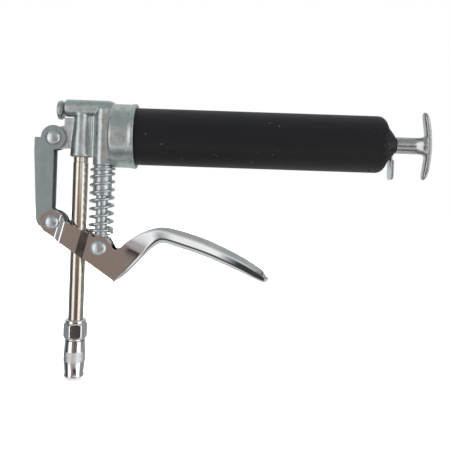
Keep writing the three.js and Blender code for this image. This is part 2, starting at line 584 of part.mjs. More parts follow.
// The two cheeks: a sheet with a joggle round the outlet pipe, drawn in plan and leaned with its bends.
function leverCheeks() {
  const v = LEVER;
  const bends = [
    [-60, v.half], [-13.9, v.half], [-10, v.bulge], [1.9, v.bulge], [7.5, v.half], [60, v.half],
  ];
  const shape = outlineOf([...bends, ...bends.map(([u, y]) => [u, y - v.sheet]).reverse()]);
  const tall = 120;
  const sheet = new THREE.ExtrudeGeometry(shape, { depth: tall, bevelEnabled: false });
  const leaned = sheet.translate(0, 0, -tall / 2).rotateY(v.lean).translate(0, 0, -70);
  const cheek = common(leaned, plate(cheekOutline(), 0, v.bulge + OVER));
  return [cheek, cheek.clone().scale(1, -1, 1)];
}

// Half of the handle's section, from the middle of its floor out to its rim, on the skin at the given depth.
function halfSection({ tall, half, lean, fold }, depth) {
  const size = Math.max(0.2, fold - depth);
  const tilt = degrees(lean);
  const rim = half - depth / Math.cos(tilt);
  const foldTop = depth + size * (1 - Math.sin(tilt));
  const middle = Math.max(0.2, rim - (tall - foldTop) * Math.tan(tilt) - size * Math.cos(tilt));
  return [[0, depth], ...arc(middle, depth + size, size, -90, -lean, 4), [rim, tall]];
}

// The handle: a trough that starts flat-sided at the corner and opens out towards its rounded tip.
function leverTrough() {
  const through = (pick) => new THREE.CatmullRomCurve3(HANDLE.map(pick), false, "catmullrom", 0.5);
  const feet = through((s) => new THREE.Vector3(s.foot[0], 0, s.foot[1]));
  const rims = through((s) => new THREE.Vector3(s.rim[0], 0, s.rim[1]));
  const shapes = through((s) => new THREE.Vector3(s.half, s.lean, s.fold));
  const widest = Math.max(...HANDLE.map((s) => s.half));
  const count = (HANDLE.length - 1) * 3;
  const mirrored = (side) => side.slice(1).map(([y, h]) => [-y, h]);
  return lofted(Array.from({ length: count + 1 }, (_, i) => {
    const t = i / count;
    const foot = feet.getPoint(t);
    const rise = rims.getPoint(t).sub(foot);
    const { x: half, y: lean, z: fold } = shapes.getPoint(t);
    const tall = rise.length();
    const [outer, inner] = [0, LEVER.sheet].map((depth) => halfSection({ tall, half, lean, fold }, depth));
    const ring = [...mirrored(outer).reverse(), ...outer, ...[...inner].reverse(), ...mirrored(inner)];
    const twist = HANDLE_TWIST * THREE.MathUtils.smoothstep(t, 0.35, 0.5);
    const tip = HANDLE_TIP * THREE.MathUtils.smoothstep(t, 0.9, 1);
    return ring.map(([y, h]) => {
      const back = tip * (Math.abs(y) / widest) ** 3;
      const p = foot.clone().addScaledVector(rise, h / tall);
      return new THREE.Vector3(p.x - back * 0.93, y, p.z + back * 0.36 + (twist * y * h) / (half * tall));
    });
  }), true);
}

function lever() {
  const holes = [PIVOT_LINK, PIVOT_PLUNGER].map((pivot) =>
    rodAlong("y", PIN_R + 0.05, -30, 30).translate(pivot.x, 0, pivot.z));
  return cut(joined(leverTrough(), ...leverCheeks()), ...holes);
}

function addLever() {
  add("toggle_link", toggleLink(), PLATE);
  add("lever", lever(), CHROME);
  add("link_rivet_lower", rivet(PIVOT_LINK, LEVER.half, DOME.lower), STEEL);
  add("plunger_rivet", rivet(PIVOT_PLUNGER, LEVER.half, DOME.plunger), STEEL);
}

addHead();
addOutlet();
addBarrel();
addFollower();
addPlunger();
addLever();

// The row's origin is the centre of the whole gun's box.
const centre = new THREE.Box3().setFromObject(group).getCenter(new THREE.Vector3());
group.position.sub(centre);

export default group;
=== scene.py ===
"""Looks of the lever grease gun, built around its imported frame. Shapes are drawn in millimetres from HOME,
the point where the barrel axis crosses the outlet pipe axis."""

import json
import math

import bmesh
import bpy
from mathutils import Matrix, Vector


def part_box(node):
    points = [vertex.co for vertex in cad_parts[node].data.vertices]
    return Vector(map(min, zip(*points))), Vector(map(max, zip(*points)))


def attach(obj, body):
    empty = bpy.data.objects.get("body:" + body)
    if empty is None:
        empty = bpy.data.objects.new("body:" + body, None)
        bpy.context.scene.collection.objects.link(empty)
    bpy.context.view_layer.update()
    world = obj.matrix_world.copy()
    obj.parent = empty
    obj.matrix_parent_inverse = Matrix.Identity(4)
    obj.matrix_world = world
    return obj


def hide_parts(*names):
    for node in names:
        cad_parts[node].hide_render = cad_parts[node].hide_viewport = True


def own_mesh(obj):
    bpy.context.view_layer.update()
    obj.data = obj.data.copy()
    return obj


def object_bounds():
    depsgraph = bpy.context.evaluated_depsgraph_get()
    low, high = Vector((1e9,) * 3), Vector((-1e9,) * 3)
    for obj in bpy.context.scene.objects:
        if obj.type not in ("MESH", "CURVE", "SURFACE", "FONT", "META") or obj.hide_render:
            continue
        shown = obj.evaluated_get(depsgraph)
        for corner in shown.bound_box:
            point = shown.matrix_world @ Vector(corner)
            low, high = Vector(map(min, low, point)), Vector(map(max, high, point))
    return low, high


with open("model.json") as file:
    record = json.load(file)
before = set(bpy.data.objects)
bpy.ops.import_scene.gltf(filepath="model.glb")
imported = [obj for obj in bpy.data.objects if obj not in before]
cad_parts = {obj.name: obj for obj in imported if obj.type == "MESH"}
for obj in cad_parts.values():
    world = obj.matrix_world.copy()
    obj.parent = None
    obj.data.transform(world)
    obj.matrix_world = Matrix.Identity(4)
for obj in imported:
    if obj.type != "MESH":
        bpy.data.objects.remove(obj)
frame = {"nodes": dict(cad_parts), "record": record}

CAD_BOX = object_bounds()
MM = 0.001
TAU = 2 * math.pi


def middle(node):
    low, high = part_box(node)
    return (low + high) / 2


HOME = Vector((middle("outlet_pipe").x, 0, middle("barrel_tube").z))


def span(node):
    """The lowest and highest corner of a CAD node, in millimetres from HOME."""
    low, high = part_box(node)
    return (low - HOME) / MM, (high - HOME) / MM


# ---------- sizes, in millimetres ----------
# Barrel: the rounded shoulder at its rear leaves an opening for the end cap.
BARREL_LOW, BARREL_HIGH = span("barrel_tube")
BARREL_R = (BARREL_HIGH.z - BARREL_LOW.z) / 2
BARREL_START, BARREL_END = BARREL_LOW.x, BARREL_HIGH.x
BARREL_WALL, SHOULDER, OPEN_END_R = 1.2, 4.8, 14.25
DIMPLE_X, DIMPLE_R, DIMPLE_DEPTH, DIMPLE_REACH = 191.8, 1.05, 0.75, 4
DIMPLE_ANGLES = (22, 112, 202, 292)
CAP_START, CAP_END = 201, span("end_cap")[1].x
ROD_HOLE_R = 3.3

# Head casting: a collar round the barrel, a boss on top, the outlet boss and the pump cylinder under it.
COLLAR_R, COLLAR_RIM, COLLAR_FLOOR = 21.2, 0.5, 4.4
COLLAR_START, COLLAR_END = 20.5, span("head_casting")[1].x
TOP_Z, TOP_BOSS_R, TOP_BOSS_START, TOP_BOSS_END, TOP_BOSS_CHAMFER = 17.6, 5.85, -12.2, 24.2, 1.7
OUTLET_TOP_R, OUTLET_FOOT_R, OUTLET_TOP, OUTLET_FOOT = 5.2, 7.4, 12.5, -15.2
PUMP_X = (span("return_spring")[0].x + span("return_spring")[1].x) / 2
PUMP_R, PUMP_FOOT, PUMP_UPPER_R, PUMP_STEP, PUMP_BORE_R = 6.2, -40.6, 6.9, -20.1, 4.3
LUG_HALF = 3
PLUG_R, PLUG_NECK_R, PLUG_RING_R, PLUG_DROP = 6.4, 5.1, 5.6, 1.5

# Pipe and coupler.
PIPE_R = 5.0
NUT_TOP, NUT_BOTTOM = span("coupler_nut")[1].z, -136.2
NUT_FLAT, NUT_BORE_R, NUT_TURN = 14.0, 2.3, math.radians(-46.4)
SLEEVE_R, SLEEVE_BOTTOM = 7.1, span("coupler_sleeve")[0].z
KNURL_TOP, KNURL_BOTTOM, KNURL_PITCH = -144.6, -151.5, 0.8

# Linkage.
PIN_HEAD, PIN_LINK, PIN_PLUNGER = (
    ((span(n)[0] + span(n)[1]) / 2) for n in ("link_rivet_upper", "link_rivet_lower", "plunger_rivet"))
PIN_R, PIN_HOLE_R, OPEN_HOLE_R = 3, 3.3, 4.5
LEVER_HALF, SHEET, LEVER_BULGE = 6.9, 1.6, 8.6
LEAN, BEND_LEVEL, BEND_OUT, BEND_IN = math.radians(13.3), -70, (-13.9, -10.2), (2.0, 7.4)
LINK_HALF = span("toggle_link")[1].y

# Springs: the radius of the coil's middle line, the radius of the wire, and the turns.
SPRING_LOW, SPRING_HIGH = span("return_spring")
SPRING_COIL, SPRING_TURNS = (7.45, 1.0), 9.4
FOLLOWER_COIL, FOLLOWER_TURNS = (12.4, 0.9), 10


# ---------- mesh helpers ----------
def build(name, parts, crease=35):
    """One object from (points, faces) parts in millimetres from HOME, smooth except at creases."""
    made = bmesh.new()
    for points, faces in parts:
        verts = [made.verts.new(HOME + Vector(p) * MM) for p in points]
        for face in faces:
            corners = [verts[i] for i in face]
            if len(set(corners)) > 2:
                made.faces.new(corners)
    bmesh.ops.remove_doubles(made, verts=made.verts, dist=2e-7)
    bmesh.ops.dissolve_degenerate(made, edges=made.edges, dist=1e-7)
    bmesh.ops.recalc_face_normals(made, faces=made.faces)
    mesh = bpy.data.meshes.new(name)
    made.to_mesh(mesh)
    made.free()
    piece = bpy.data.objects.new(name, mesh)
    bpy.context.scene.collection.objects.link(piece)
    soften(piece, crease)
    return piece


def soften(piece, crease):
    piece.data.shade_smooth()
    piece.data.set_sharp_from_angle(angle=math.radians(crease))


def bake(piece):
    """Applies the modifiers."""
    graph = bpy.context.evaluated_depsgraph_get()
    mesh = bpy.data.meshes.new_from_object(piece.evaluated_get(graph))
    piece.modifiers.clear()
    piece.data = mesh


def combine(piece, tool, operation, crease=35):
    change = piece.modifiers.new("bool", "BOOLEAN")
    change.operation = operation
    change.solver = "EXACT"
    change.object = tool
    bake(piece)
    bpy.data.objects.remove(tool)
    soften(piece, crease)


def melt(piece, voxel, passes):
    """Joins overlapping solids into one skin and rounds their meeting lines, as a casting has."""
    skin = piece.modifiers.new("skin", "REMESH")
    skin.mode = "VOXEL"
    skin.voxel_size = voxel * MM
    smooth = piece.modifiers.new("smooth", "SMOOTH")
    smooth.factor = 0.5
    smooth.iterations = passes
    bake(piece)
    piece.data.shade_smooth()


def bevel(piece, width, segments=2, angle=40, crease=35):
    edge = piece.modifiers.new("bevel", "BEVEL")
    edge.width = width * MM
    edge.segments = segments
    edge.limit_method = "ANGLE"
    edge.angle_limit = math.radians(angle)
    bake(piece)
    settle(piece, crease)


def settle(piece, crease=35):
    """Shades smoothly, with each normal following the larger of the faces that meet, so flats stay flat."""
    soften(piece, crease)
    weigh = piece.modifiers.new("weigh", "WEIGHTED_NORMAL")
    weigh.keep_sharp = True
    bake(piece)


def along(axis, r, angle, h):
    """A point at radius r and angle round an axis, at height h on it."""
    c, s = r * math.cos(angle), r * math.sin(angle)
    return {"x": (h, c, s), "y": (c, h, -s), "z": (c, s, h)}[axis]


def rounded(corners, steps=5):
    """A profile whose corners (r, h, radius) are rounded where they state a radius."""
    out = []
    for i, corner in enumerate(corners):
        size = corner[2] if len(corner) > 2 else 0
        here = Vector(corner[:2])
        if not size:
            out.append(tuple(here))
            continue
        back = Vector(corners[i - 1][:2]) - here
        ahead = Vector(corners[(i + 1) % len(corners)][:2]) - here
        a = here + back.normalized() * min(size, back.length / 2)
        b = here + ahead.normalized() * min(size, ahead.length / 2)
        for k in range(steps + 1):
            t = k / steps
            out.append(tuple(a * (1 - t) ** 2 + here * (2 * t * (1 - t)) + b * t * t))
    return out


def rod_profile(r, start, end):
    """The profile of a plain rod, for bores."""
    return [(0, start), (r, start), (r, end), (0, end)]


def turned(profile, axis, centre=(0, 0, 0), sides=96, closed=False, shape=None):
    """A solid of revolution. shape(r, angle, h), if given, returns the radius there."""
    radius = shape or (lambda r, angle, h: r)
    points = []
    for r, h in profile:
        for j in range(sides):
            angle = TAU * j / sides
            p = along(axis, radius(r, angle, h), angle, h)
            points.append(tuple(p[k] + centre[k] for k in range(3)))
    rows = len(profile)
    faces = []
    for i in range(rows if closed else rows - 1):
        n = (i + 1) % rows
        for j in range(sides):
            k = (j + 1) % sides
            faces.append((i * sides + j, i * sides + k, n * sides + k, n * sides + j))
    return points, faces


def prism(outline, low, high):
    """An outline of (x, z) points, standing between two y values."""
    n = len(outline)
    points = [(x, low, z) for x, z in outline] + [(x, high, z) for x, z in outline]
    faces = [tuple(range(n)), tuple(range(n, 2 * n))]
    faces += [(i, (i + 1) % n, n + (i + 1) % n, n + i) for i in range(n)]
    return points, faces


def block(x, y, z):
    return prism([(x[0], z[0]), (x[1], z[0]), (x[1], z[1]), (x[0], z[1])], *y)


def loft(rings):
    n = len(rings[0])
    points = [p for ring in rings for p in ring]
    faces = [tuple(range(n)), tuple(range(len(points) - n, len(points)))]
    for i in range(len(rings) - 1):
        for j in range(n):
            k = (j + 1) % n
            faces.append((i * n + j, i * n + k, (i + 1) * n + k, (i + 1) * n + j))
    return points, faces


def bow(x, z, r, start, end, steps=16):
    """Points on an arc in the x-z plane, with angles in degrees."""
    angles = [math.radians(start + (end - start) * k / steps) for k in range(steps + 1)]
    return [(x + r * math.cos(a), z + r * math.sin(a)) for a in angles]


def curve_through(points, steps=8):
    """A smooth open curve through the points (Catmull-Rom)."""
    ps = [Vector(p) for p in points]
    ps = [2 * ps[0] - ps[1], *ps, 2 * ps[-1] - ps[-2]]
    out = []
    for a, b, c, d in zip(ps, ps[1:], ps[2:], ps[3:]):
        for k in range(steps):
            t = k / steps
            out.append(0.5 * (2 * b + (c - a) * t + (2 * a - 5 * b + 4 * c - d) * t ** 2
                              + (3 * b - a - 3 * c + d) * t ** 3))
    return [tuple(p) for p in [*out, ps[-2]]]


def smoothstep(t, low, high):
    t = min(1, max(0, (t - low) / (high - low)))
    return t * t * (3 - 2 * t)


def coil(r, wire, start, end, turns, axis, centre=(0, 0, 0), steps=30, sides=12):
    """A round wire wound into a spring with closed end turns."""
    closed_pitch = 2.06 * wire
    pitch = (abs(end - start) - 2 * wire - 2 * closed_pitch) / (turns - 2)
    way = 1 if end > start else -1
    rings = []
    for i in range(round(turns * steps) + 1):
        turn = i / steps
        rise = min(turn, 1) * closed_pitch
        rise += max(0, min(turn, turns - 1) - 1) * pitch + max(0, turn - turns + 1) * closed_pitch
        angle = turn * TAU * way
        ring = []
        for j in range(sides):
            a = TAU * j / sides
            h = start + way * (wire + rise) + wire * math.sin(a)
            p = along(axis, r + wire * math.cos(a), angle, h)
            ring.append(tuple(p[k] + centre[k] for k in range(3)))
        rings.append(ring)
    return loft(rings)


# ---------- materials ----------
class Nodes:
    """A short hand for building one material's nodes."""

    def __init__(self, name):
        self.material = bpy.data.materials.new(name)
        self.material.use_nodes = True
        self.tree = self.material.node_tree
        self.shader = self.tree.nodes["Principled BSDF"]
        self.place = self.add("ShaderNodeTexCoord").outputs["Object"]

    def add(self, kind, **values):
        node = self.tree.nodes.new(kind)
        for key, value in values.items():
            if key in node.inputs:
                node.inputs[key].default_value = value
            else:
                setattr(node, key, value)
        return node

    def link(self, a, b):
        self.tree.links.new(a, b)

    def stretched(self, scale):
        mapping = self.add("ShaderNodeMapping")
        mapping.inputs["Scale"].default_value = scale
        self.link(self.place, mapping.inputs["Vector"])
        return mapping.outputs["Vector"]

    def noise(self, scale, detail=4, rough=0.5, stretch=(1, 1, 1)):
        """Cloudy noise; scale is features per metre."""
        node = self.add("ShaderNodeTexNoise", Scale=scale, Detail=detail, Roughness=rough)
        self.link(self.stretched(stretch), node.inputs["Vector"])
        return node.outputs["Fac"]

    def cells(self, scale, stretch=(1, 1, 1)):
        node = self.add("ShaderNodeTexVoronoi", Scale=scale)
        self.link(self.stretched(stretch), node.inputs["Vector"])
        return node.outputs["Distance"]

    def ramp(self, source, stops):
        node = self.add("ShaderNodeValToRGB")
        band = node.color_ramp.elements
        band[0].position, band[1].position = stops[0][0], stops[-1][0]
        band[0].color, band[1].color = (*stops[0][1], 1), (*stops[-1][1], 1)
        for at, colour in stops[1:-1]:
            band.new(at).color = (*colour, 1)
        self.link(source, node.inputs["Fac"])
        return node.outputs["Color"]

    def levels(self, source, low, high, out_low, out_high):
        node = self.add("ShaderNodeMapRange")
        for key, value in zip(("From Min", "From Max", "To Min", "To Max"), (low, high, out_low, out_high)):
            node.inputs[key].default_value = value
        self.link(source, node.inputs["Value"])
        return node.outputs["Result"]

    def maths(self, operation, a, b):
        node = self.add("ShaderNodeMath", operation=operation)
        for slot, value in ((0, a), (1, b)):
            if isinstance(value, (int, float)):
                node.inputs[slot].default_value = value
            else:
                self.link(value, node.inputs[slot])
        return node.outputs["Value"]

    def mix(self, factor, a, b):
        """Colour a where factor is 0 and b where it is 1."""
        node = self.add("ShaderNodeMix", data_type="RGBA")
        for slot, value in ((6, a), (7, b)):
            if isinstance(value, tuple):
                node.inputs[slot].default_value = (*value, 1)
            else:
                self.link(value, node.inputs[slot])
        self.link(factor, node.inputs[0])
        return node.outputs[2]

    def bumps(self, *layers):
        """Stacks (height, depth in millimetres) layers of bump."""
        last = None
        for height, depth in layers:
            node = self.add("ShaderNodeBump", Distance=depth * MM, Strength=1.0)
            self.link(height, node.inputs["Height"])
            if last is not None:
                self.link(last, node.inputs["Normal"])
            last = node.outputs["Normal"]
        self.link(last, self.shader.inputs["Normal"])

    def finish(self, colour, roughness, metallic, **fixed):
        for key, value in (("Base Color", colour), ("Roughness", roughness), ("Metallic", metallic)):
            slot = self.shader.inputs[key]
            if isinstance(value, (int, float)):
                slot.default_value = value
            elif isinstance(value, tuple):
                slot.default_value = (*value, 1)
            else:
                self.link(value, slot)
        for key, value in fixed.items():
            self.shader.inputs[key.replace("_", " ")].default_value = value
        return self.material


def zinc_casting():
    """Bright die-cast zinc: cool grey, softly mottled, with fine cast texture and small pits."""
    m = Nodes("zinc_casting")
    cloud = m.noise(260, 6, 0.6)
    grain = m.noise(1600, 3, 0.6)
    colour = m.ramp(cloud, [
        (0.3, (0.46, 0.51, 0.51)), (0.52, (0.60, 0.645, 0.64)), (0.72, (0.70, 0.735, 0.725))])
    pits = m.levels(m.cells(420), 0.05, 0.13, 0, 1)
    worn = m.mix(pits, (0.30, 0.32, 0.32), colour)
    rough = m.levels(grain, 0.3, 0.7, 0.27, 0.42)
    m.bumps((cloud, 0.16), (grain, 0.045), (pits, 0.03))
    return m.finish(worn, rough, 1.0)


def zinc_plate():
    """Zinc plated sheet: flat, cool and even, with a faint rolling grain."""
    m = Nodes("zinc_plate")
    cloud = m.noise(180, 5, 0.6)
    grain = m.noise(900, 3, 0.6, (1, 1, 0.15))
    colour = m.ramp(cloud, [(0.3, (0.36, 0.41, 0.41)), (0.7, (0.43, 0.48, 0.475))])
    rough = m.levels(grain, 0.3, 0.7, 0.5, 0.62)
    m.bumps((grain, 0.02), (cloud, 0.05))
    return m.finish(colour, rough, 1.0)


def chrome():
    """Polished chrome over stamped steel: clear reflections, hairline scratches and a few pits."""
    m = Nodes("chrome")
    haze = m.noise(120, 4, 0.5)
    hair = m.noise(700, 2, 0.4, (0.12, 1, 1.6))
    pits = m.levels(m.cells(330), 0.03, 0.09, 0, 1)
    colour = m.mix(pits, (0.52, 0.50, 0.49), (0.80, 0.79, 0.785))
    rough = m.levels(haze, 0.35, 0.7, 0.05, 0.15)
    m.bumps((haze, 0.03), (hair, 0.004), (pits, 0.006))
    return m.finish(colour, rough, 1.0)


def nickel():
    """Bright nickel on a drawn tube: warm, with fine lengthwise draw marks."""
    m = Nodes("nickel")
    draw = m.noise(900, 3, 0.5, (1, 1, 0.02))
    cloud = m.noise(90, 4, 0.6)
    colour = m.ramp(cloud, [(0.3, (0.60, 0.545, 0.47)), (0.7, (0.74, 0.69, 0.61))])
    rough = m.levels(draw, 0.3, 0.7, 0.12, 0.24)
    m.bumps((draw, 0.004), (cloud, 0.03))
    return m.finish(colour, rough, 1.0)


def black_coat():
    """Black powder coat: satin, faint orange peel, sparse dust."""
    m = Nodes("black_coat")
    peel = m.noise(1300, 2, 0.5)
    cloud = m.noise(60, 3, 0.5)
    dust = m.levels(m.cells(210), 0.05, 0.09, 1, 0)
    gate = m.levels(m.noise(40, 2, 0.5), 0.5, 0.56, 0, 1)
    specks = m.maths("MULTIPLY", dust, gate)
    colour = m.mix(specks, (0.007, 0.0066, 0.0078), (0.13, 0.13, 0.13))
    rough = m.levels(cloud, 0.3, 0.7, 0.42, 0.5)
    m.bumps((peel, 0.02))
    return m.finish(colour, rough, 0.0, Specular_IOR_Level=0.2)


def bright_steel():
    """Bright zinc plate on round steel: rivets, springs and rods."""
    m = Nodes("bright_steel")
    cloud = m.noise(420, 5, 0.6)
    colour = m.ramp(cloud, [(0.3, (0.55, 0.60, 0.62)), (0.7, (0.74, 0.78, 0.79))])
    rough = m.levels(cloud, 0.3, 0.7, 0.26, 0.38)
    m.bumps((cloud, 0.012))
    return m.finish(colour, rough, 1.0)


def cast_alloy():
    """Tumbled cast aluminium: soft polish over small dents."""
    m = Nodes("cast_alloy")
    dents = m.noise(330, 4, 0.55)
    grain = m.noise(1500, 3, 0.6)
    colour = m.ramp(dents, [(0.3, (0.42, 0.42, 0.425)), (0.7, (0.58, 0.58, 0.585))])
    rough = m.levels(grain, 0.3, 0.7, 0.2, 0.3)
    m.bumps((dents, 0.06), (grain, 0.01))
    return m.finish(colour, rough, 1.0)


def black_rubber():
    """Matt black rubber with a dusty bloom."""
    m = Nodes("black_rubber")
    cloud = m.noise(500, 4, 0.6)
    colour = m.ramp(cloud, [(0.3, (0.008, 0.008, 0.008)), (0.7, (0.02, 0.02, 0.02))])
    rough = m.levels(cloud, 0.3, 0.7, 0.6, 0.8)
    m.bumps((cloud, 0.02))
    return m.finish(colour, rough, 0.0)


MATERIALS = {f.__name__: f() for f in (
    zinc_casting, zinc_plate, chrome, nickel, black_coat, bright_steel, cast_alloy, black_rubber)}


def dress(piece, slot, body, *nodes):
    """Gives a piece its material and body, and hides the CAD nodes it stands for."""
    piece.data.materials.clear()
    piece.data.materials.append(MATERIALS[slot])
    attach(piece, body)
    if nodes:
        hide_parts(*nodes)
    return piece


# ---------- head ----------
def make_head():
    """Rough solids for the collar, bosses, pump cylinder and lug, melted into one casting and then bored."""
    end, rim_r = COLLAR_END, COLLAR_R + COLLAR_RIM
    collar = turned(rounded([
        (0, COLLAR_START), (COLLAR_R, COLLAR_START, 2.6), (COLLAR_R, end - 3.2, 1),
        (rim_r, end - 2, 0.8), (rim_r, end, 0.7), (0, end)]), "x", sides=160)
    top_boss = turned(rounded([
        (0, TOP_BOSS_START), (TOP_BOSS_R - TOP_BOSS_CHAMFER, TOP_BOSS_START, 0.4),
        (TOP_BOSS_R, TOP_BOSS_START + TOP_BOSS_CHAMFER, 0.5), (TOP_BOSS_R, TOP_BOSS_END - 2.6, 5.5),
        (0, TOP_BOSS_END)]), "x", (0, 0, TOP_Z), 96)
    outlet_boss = turned(rounded([
        (0, OUTLET_FOOT), (OUTLET_FOOT_R, OUTLET_FOOT, 1.8), (OUTLET_TOP_R, OUTLET_TOP), (4.9, TOP_Z),
        (0, TOP_Z)]), "z")
    pump = turned(rounded([
        (0, PUMP_FOOT), (PUMP_R, PUMP_FOOT, 0.7), (PUMP_R, PUMP_STEP), (PUMP_UPPER_R, PUMP_STEP, 0.5),
        (PUMP_UPPER_R, TOP_Z), (0, TOP_Z)]), "z", (PUMP_X, 0, 0))
    web = block((0, PUMP_X), (-2.4, 2.4), (-14.9, TOP_Z))
    rib = block((7.7, 8.6), (-3.2, 3.2), (-14.8, 13.4))
    gusset = prism([(PUMP_X, -19.9), (27.5, -20), (27.5, 0), (PUMP_X, 0)], -4.5, 4.5)
    neck = block((PUMP_X, 22.5), (-6.6, 6.6), (-16, 14))
    lug = prism([(0, 10.8), (-11.3, 10.8), (-11.3, 5.6), (PIN_HEAD.x + 3, 4.6),
                 *bow(PIN_HEAD.x, PIN_HEAD.z, 7.3, 80, 285, 30), (0, -9)], -LUG_HALF, LUG_HALF)
    head = build("head", [collar, top_boss, outlet_boss, pump, web, rib, gusset, neck, lug])
    melt(head, 0.3, 6)
    socket_r, pipe_socket_r = BARREL_R + 0.3, PIPE_R + 0.12
    cutters = [
        turned(rod_profile(socket_r, COLLAR_START + COLLAR_FLOOR, end + 2), "x", sides=128),
        turned(rod_profile(PUMP_BORE_R, -44, -4), "z", (PUMP_X, 0, 0), 64),
        turned(rod_profile(pipe_socket_r, -18, -8), "z", sides=64),
    ]
    for i, cutter in enumerate(cutters):
        combine(head, build(f"head_cutter_{i}", [cutter]), "DIFFERENCE", 40)
    dress(head, "zinc_casting", "gun", "head_casting")


def make_plug():
    """The knob sits a little below the axis of the shank."""
    start, lip, end = -16, -13.3, -12.5
    ring = lip + 0.3
    knob = turned(rounded([
        (0, start), (PLUG_R, start, 1.5), (PLUG_R, lip, 0.5), (PLUG_NECK_R, lip, 0.2),
        (PLUG_NECK_R, ring, 0.15), (PLUG_RING_R, ring, 0.15), (PLUG_RING_R, end, 0.2), (0, end)]),
        "x", (0, 0, TOP_Z - PLUG_DROP), 96)
    shank = turned(rounded([(0, -13.1), (3.6, -13.1), (3.6, -7.6, 0.3), (0, -7.6)]), "x", (0, 0, TOP_Z), 64)
    plug = build("filler_plug_cap", [knob])
    combine(plug, build("plug_shank", [shank]), "UNION")
    dress(plug, "zinc_casting", "gun", "filler_plug")


# ---------- outlet pipe and coupler ----------
def make_pipe():
    bottom, top, neck, bore_r = NUT_TOP - 6, -8.2, -18.6, 3
    neck_r = PIPE_R - 0.25
    pipe = build("pipe", [turned(rounded([
        (bore_r, bottom), (PIPE_R, bottom), (PIPE_R, neck, 0.2), (neck_r, neck + 0.3, 0.1), (neck_r, top),
        (bore_r, top)]), "z", closed=True)])
    dress(pipe, "nickel", "gun", "outlet_pipe")


def nut_radius(r, angle, h):
    """A hexagon with worn corners, turned down to a round ring at its top and by a cone at its foot."""
    if r < 6:
        return r
    turn = (angle - NUT_TURN) % (TAU / 6) - TAU / 12
    corner = NUT_FLAT / math.sqrt(3)
    flat = min(NUT_FLAT / 2 / math.cos(turn), corner - 0.25)
    down = NUT_TOP - h
    ring_r, ring_tall, foot_r, edge = 6.9, 2, 7.2, 0.6
    cone = min(ring_r + max(0, down - ring_tall) * 0.79, foot_r + (h - NUT_BOTTOM) * 0.57)
    if down < edge:
        cone -= edge - math.sqrt(edge ** 2 - (edge - down) ** 2)
    blend = 0.12
    return min(r, -blend * math.log(math.exp(-flat / blend) + math.exp(-cone / blend)))


def knurled(radius, angle, h):
    """The sleeve's radius, raised in a diamond weave between KNURL_BOTTOM and KNURL_TOP."""
    edge = 0.3
    above = smoothstep(h, KNURL_BOTTOM, KNURL_BOTTOM + edge)
    inside = above * (1 - smoothstep(h, KNURL_TOP - edge, KNURL_TOP))
    if radius < SLEEVE_R - 0.05 or inside <= 0:
        return radius
    across = angle * SLEEVE_R
    weave = (abs(math.sin((across + h) * math.pi / KNURL_PITCH))
             * abs(math.sin((across - h) * math.pi / KNURL_PITCH)))
    return radius + inside * (0.02 + 0.15 * (weave - 0.4))


def make_nut():
    """The hexagon, a short round collar under it and the threaded spigot that the sleeve takes."""
    levels = [NUT_BOTTOM + (NUT_TOP - NUT_BOTTOM) * k / 56 for k in range(57)]
    bore, pipe_hole, seat = NUT_BORE_R, PIPE_R + 0.1, NUT_TOP - 5
    profile = [(bore, NUT_BOTTOM), (6.3, NUT_BOTTOM), *[(9, z) for z in levels], (pipe_hole, NUT_TOP),
               (pipe_hole, seat), (bore, seat)]
    nut = turned(profile, "z", sides=240, closed=True, shape=nut_radius)
    low, high = NUT_BOTTOM - 4.9, NUT_BOTTOM + 0.4
    spigot = turned([(bore, low), (5, low), (5, high), (bore, high)], "z", closed=True)
    low, high = NUT_BOTTOM - 1, NUT_BOTTOM + 0.5
    collar = turned(rounded([(bore, low), (6.5, low, 0.2), (6.5, high), (bore, high)]), "z", closed=True)
    dress(build("coupler_hex", [nut, spigot, collar], 28), "chrome", "gun", "coupler_nut")


def make_sleeve():
    top, bottom, r, bore_r, mouth_r = NUT_BOTTOM - 1.3, SLEEVE_BOTTOM, SLEEVE_R, 5.4, 3.6
    band = [(r, KNURL_TOP - (KNURL_TOP - KNURL_BOTTOM) * k / 60) for k in range(61)]
    profile = rounded([(bore_r, top), (r, top, 0.4)]) + band + rounded([
        (r, bottom, 2.4), (mouth_r + 1, bottom, 0.2), (mouth_r, bottom + 0.5, 0.2), (mouth_r, bottom + 2.6),
        (bore_r, bottom + 4.6)], 8)
    profile = [p for i, p in enumerate(profile) if p != profile[i - 1]]
    sleeve = build("coupler_tip", [turned(profile, "z", sides=336, closed=True, shape=knurled)], 50)
    dress(sleeve, "chrome", "gun", "coupler_sleeve")


# ---------- barrel ----------
def dented(r, angle, h):
    """The barrel's radius, pressed in at the dimples and raised a little round them."""
    if r < BARREL_R - 0.01 or abs(h - DIMPLE_X) > DIMPLE_REACH:
        return r
    facing = -angle - math.pi / 2
    nearest = min(abs((facing - math.radians(a) + math.pi) % TAU - math.pi) for a in DIMPLE_ANGLES)
    gap = math.hypot(nearest * BARREL_R, h - DIMPLE_X) / DIMPLE_R
    return r - DIMPLE_DEPTH * math.exp(-gap ** 2) + 0.08 * math.exp(-(gap - 1.9) ** 2 * 3)


def make_barrel():
    """A tube with a rounded shoulder, divided finely where the dimples are."""
    fine = [(BARREL_R, DIMPLE_X + DIMPLE_REACH * (k / 12 - 1)) for k in range(25)]
    arc = [(BARREL_R - SHOULDER + SHOULDER * math.cos(a), BARREL_END - SHOULDER + SHOULDER * math.sin(a))
           for a in (math.radians(90 * k / 14) for k in range(15))]
    inner = [(r - BARREL_WALL * (r > OPEN_END_R), h - BARREL_WALL) for r, h in reversed(arc)]
    profile = [(BARREL_R - BARREL_WALL, BARREL_START), (BARREL_R, BARREL_START), *fine, *arc,
               (OPEN_END_R, BARREL_END), *inner]
    tube = build("tube", [turned(profile, "x", sides=288, closed=True, shape=dented)], 50)
    dress(tube, "black_coat", "gun", "barrel_tube")


